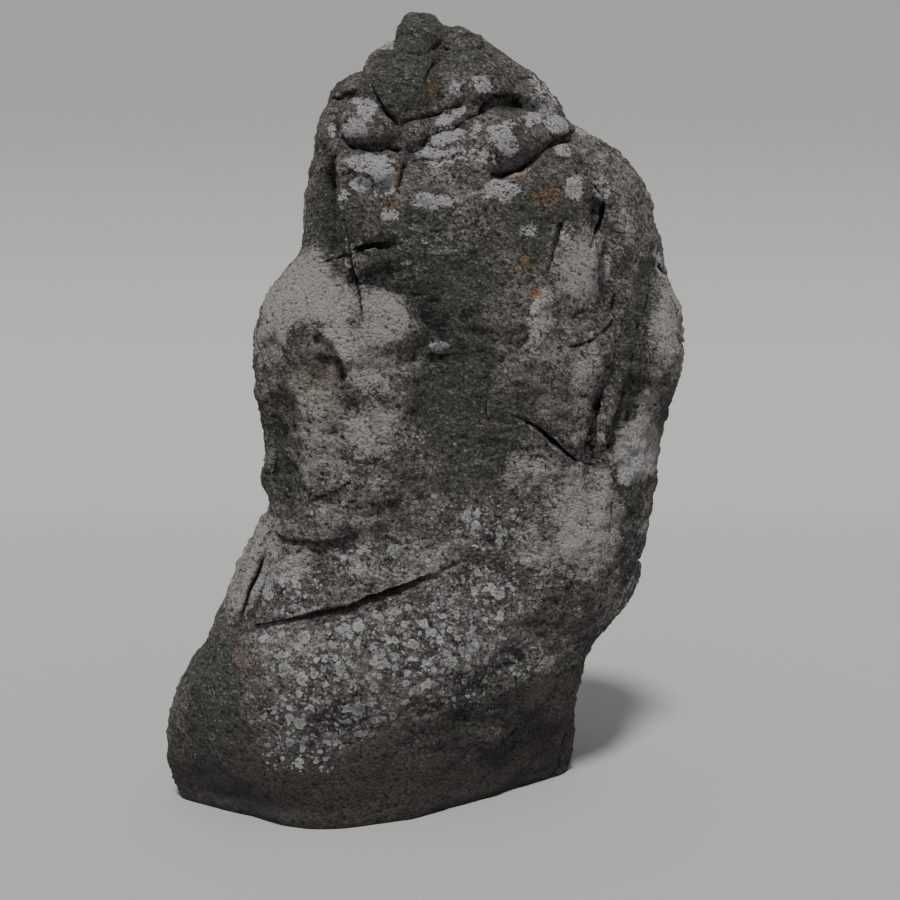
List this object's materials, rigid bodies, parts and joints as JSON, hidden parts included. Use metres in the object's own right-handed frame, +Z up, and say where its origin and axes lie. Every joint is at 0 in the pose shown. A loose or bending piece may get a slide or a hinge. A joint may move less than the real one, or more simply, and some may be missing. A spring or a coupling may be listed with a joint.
{
  "type": "menhir",
  "caption": "Weathered granite standing stone, narrow at the foot and broad at the shoulder, with a knobbly crown, a long low crack and a flat underside.",
  "frame": {"origin": "on the flat underside, near the middle of the foot", "axes": "+Z up the stone, -Y out of its broad front face, +X to the right as the front is seen"},
  "size_m": [1.6868, 0.9597, 2.5147],
  "materials": {
    "weathered_granite": "coarse, rough granite, dark with algae, blotched with pale crust lichen and small round white lichens"
  },
  "bodies": {
    "root": {"standing_stone": "weathered_granite"}
  },
  "joints": []
}
